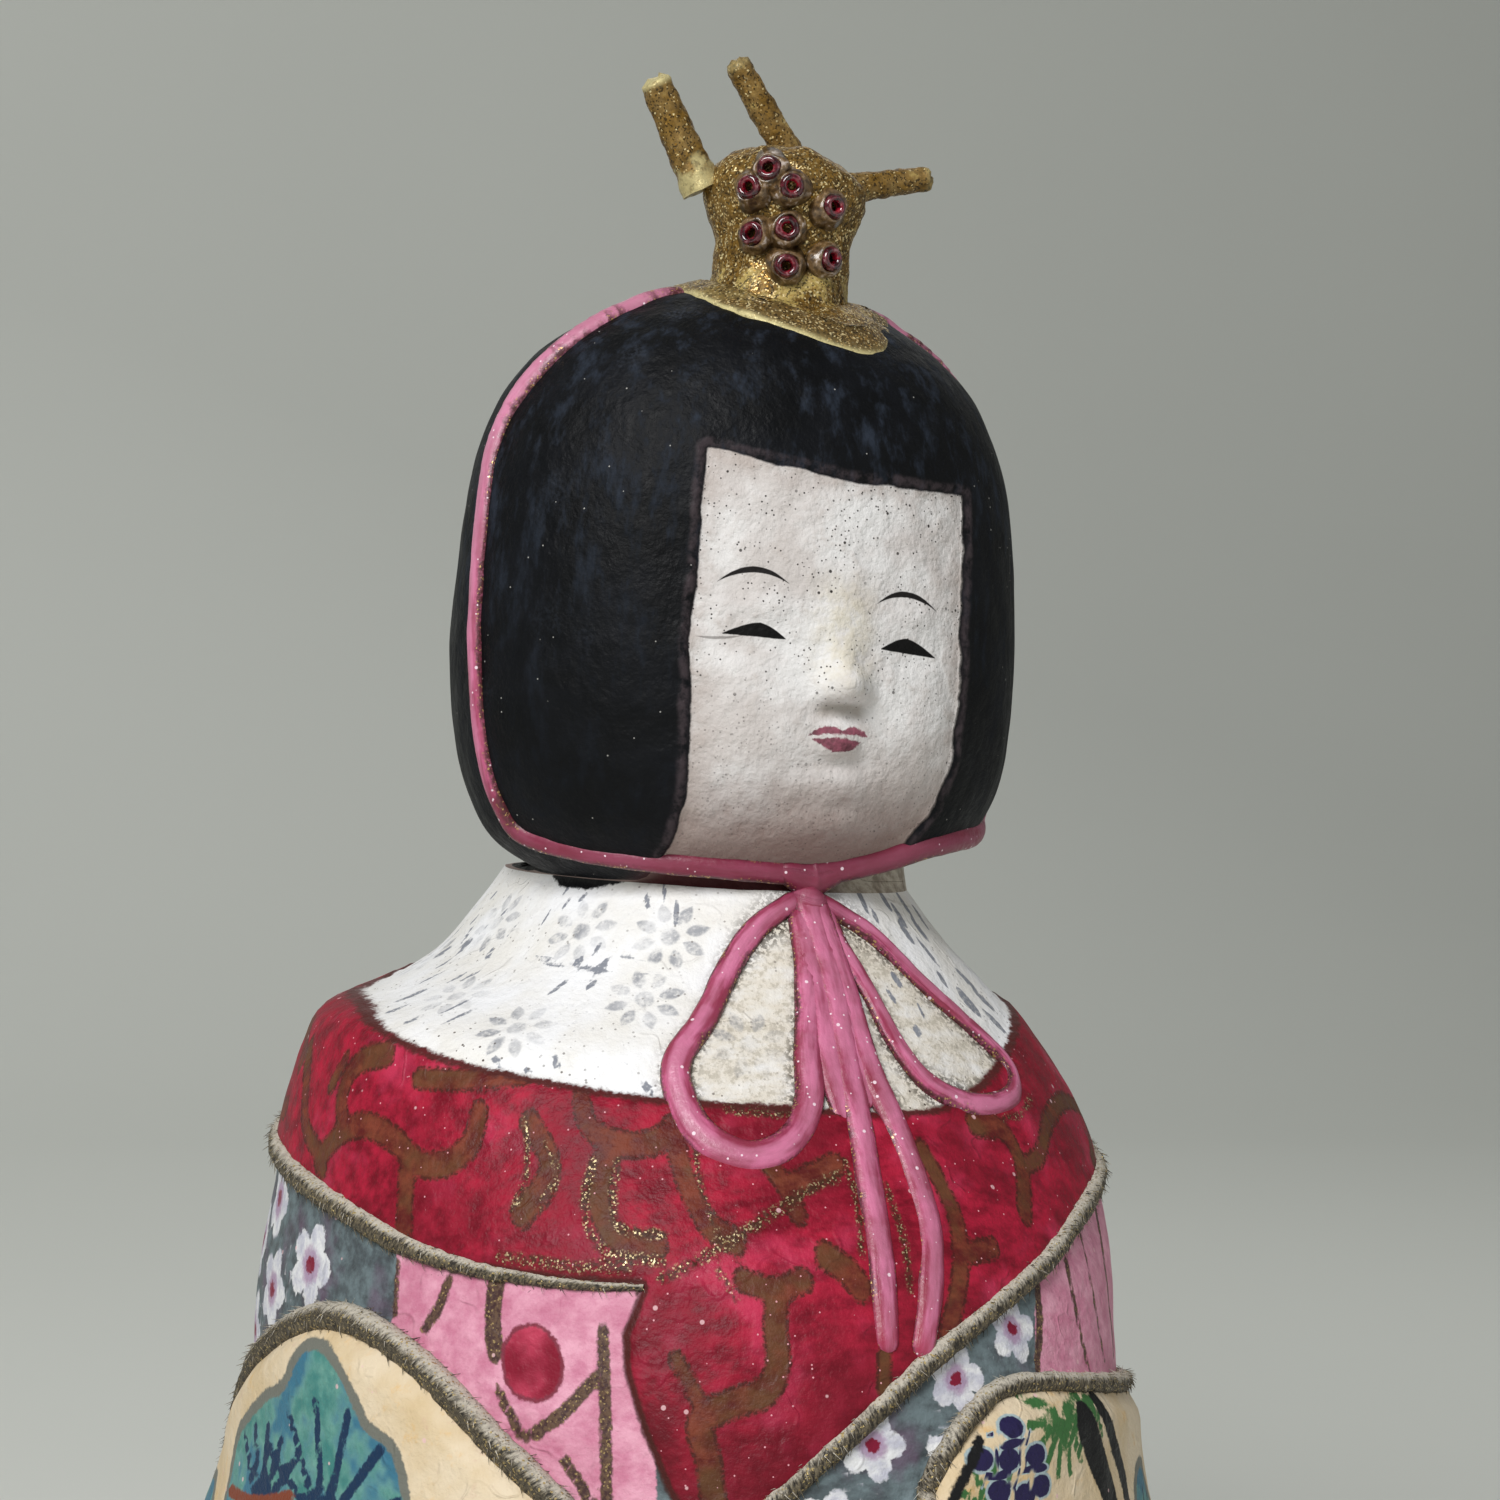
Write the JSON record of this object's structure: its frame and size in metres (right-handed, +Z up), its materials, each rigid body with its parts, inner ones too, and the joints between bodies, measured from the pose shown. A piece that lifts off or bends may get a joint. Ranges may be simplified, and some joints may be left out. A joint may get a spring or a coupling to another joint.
{
  "type": "papier-mache doll figure",
  "caption": "Seated papier-mache doll in painted robes with bobbed black hair, a chin cord tied in a bow and a beaded gold crown.",
  "frame": {"origin": "middle of the outline on the underside, so the figure stands on Z = 0", "axes": "+Z up, the face looks along -Y, the figure's own left is +X"},
  "size_m": [0.129, 0.1152, 0.1925],
  "materials": {
    "painted_paper": "hand-painted, satin",
    "gilt_pulp": "gold paint with glitter",
    "gilt_prong": "worn gold paint",
    "red_glass": "gloss"
  },
  "bodies": {
    "root": {"papier_mache_figure": "painted_paper", "crown_cup": "gilt_pulp", "crown_prong_left": "gilt_prong", "crown_prong_middle": "gilt_prong", "crown_prong_right": "gilt_prong", "crown_bead_1": "red_glass", "crown_bead_2": "red_glass", "crown_bead_3": "red_glass", "crown_bead_4": "red_glass", "crown_bead_5": "red_glass", "crown_bead_6": "red_glass", "crown_bead_7": "red_glass", "crown_bead_8": "red_glass"}
  },
  "joints": []
}
